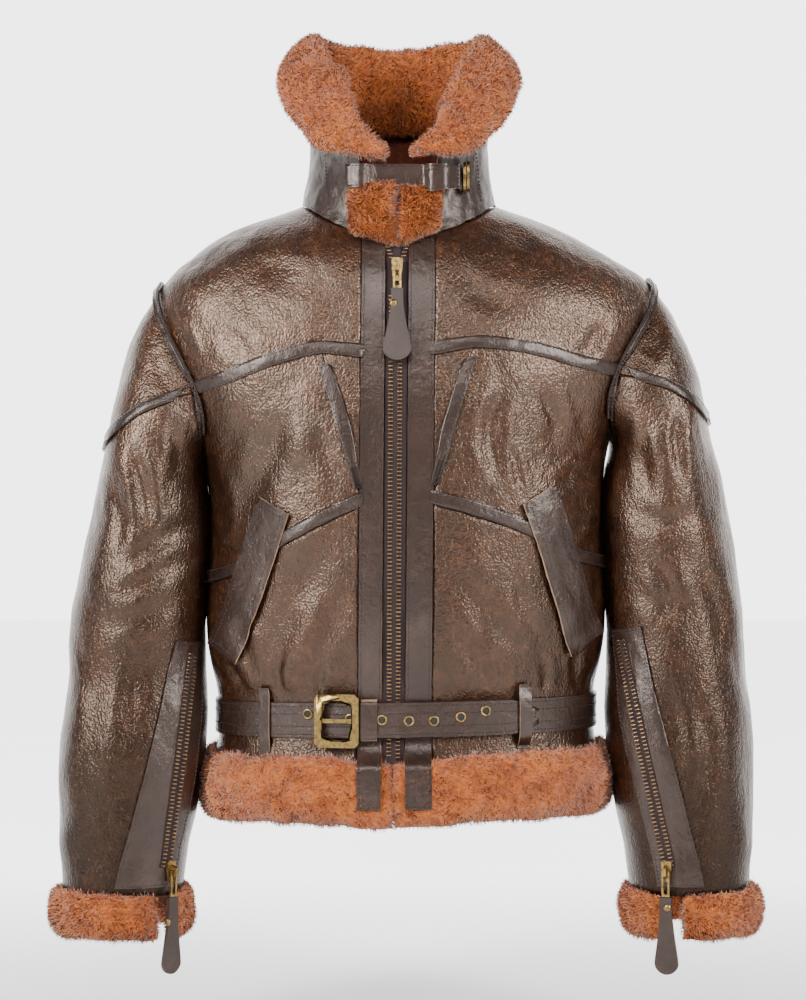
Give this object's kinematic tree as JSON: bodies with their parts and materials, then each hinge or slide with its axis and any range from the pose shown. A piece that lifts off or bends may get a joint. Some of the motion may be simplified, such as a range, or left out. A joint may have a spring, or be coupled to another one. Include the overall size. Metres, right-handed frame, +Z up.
{
  "type": "leather bomber jacket",
  "caption": "Brown shearling bomber jacket, worn shape: zip front, belted waist, slanted pockets, wool collar, hem and cuffs",
  "frame": {"origin": "middle of the neck, level with the side of the neckline", "axes": "+X to the left sleeve of the jacket, +Y to its back, +Z up"},
  "size_m": [0.7023, 0.2645, 0.9293],
  "materials": {
    "hide": "distressed, glossy",
    "smooth_leather": "satin",
    "wool": "matte",
    "antique_brass": "antique",
    "zip_cloth": "matte"
  },
  "bodies": {
    "root": {"front_upper_right": "hide", "front_gore_right": "hide", "front_side_right": "hide", "front_lower_right": "hide", "front_upper_left": "hide", "front_gore_left": "hide", "front_side_left": "hide", "front_lower_left": "hide", "back_yoke": "hide", "back_body": "hide", "back_lower": "hide", "sleeve_cap_right": "hide", "sleeve_lower_right": "hide", "sleeve_cap_left": "hide", "sleeve_lower_left": "hide", "yoke_tape_right": "smooth_leather", "gore_tape_right": "smooth_leather", "waist_tape_right": "smooth_leather", "yoke_tape_left": "smooth_leather", "gore_tape_left": "smooth_leather", "waist_tape_left": "smooth_leather", "yoke_tape_back": "smooth_leather", "waist_tape_back": "smooth_leather", "armhole_tape_right": "smooth_leather", "sleeve_tape_right": "smooth_leather", "armhole_tape_left": "smooth_leather", "sleeve_tape_left": "smooth_leather", "zip_facing_right": "smooth_leather", "zip_facing_left": "smooth_leather", "zip_tape": "zip_cloth", "zip_slider": "antique_brass", "pocket_welt_right": "smooth_leather", "pocket_welt_left": "smooth_leather", "belt": "smooth_leather", "buckle_frame": "antique_brass", "buckle_prong": "antique_brass", "belt_keeper": "smooth_leather", "belt_loop_right": "smooth_leather", "belt_loop_left": "smooth_leather", "belt_loop_back": "smooth_leather", "collar": "smooth_leather", "collar_fur": "wool", "chin_fur_right": "wool", "chin_fur_left": "wool", "collar_strap": "smooth_leather", "collar_tongue": "smooth_leather", "collar_ring": "antique_brass", "hem_fur": "wool", "cuff_facing_right": "smooth_leather", "cuff_fur_right": "wool", "cuff_zip_right_slider": "antique_brass", "cuff_facing_left": "smooth_leather", "cuff_fur_left": "wool", "cuff_zip_left_slider": "antique_brass"},
    "main_zip_pull": {"zip_pull_link": "antique_brass", "zip_pull_tab": "smooth_leather"},
    "right_cuff_pull": {"cuff_zip_right_pull_link": "antique_brass", "cuff_zip_right_pull_tab": "smooth_leather"},
    "left_cuff_pull": {"cuff_zip_left_pull_link": "antique_brass", "cuff_zip_left_pull_tab": "smooth_leather"}
  },
  "joints": [
    {"name": "main_zip_pull_hinge", "type": "hinge", "parent": "root", "child": "main_zip_pull", "pos_m": [-0.00862, -0.10914, -0.07079], "axis": [-1, 0, 0], "range_deg": [0, 150]},
    {"name": "right_cuff_pull_hinge", "type": "hinge", "parent": "root", "child": "right_cuff_pull", "pos_m": [-0.22484, -0.08419, -0.65274], "axis": [-0.6687, -0.7436, 0], "range_deg": [0, 150]},
    {"name": "left_cuff_pull_hinge", "type": "hinge", "parent": "root", "child": "left_cuff_pull", "pos_m": [0.24933, -0.10086, -0.65062], "axis": [-0.934, 0.3574, 0], "range_deg": [0, 150]}
  ]
}
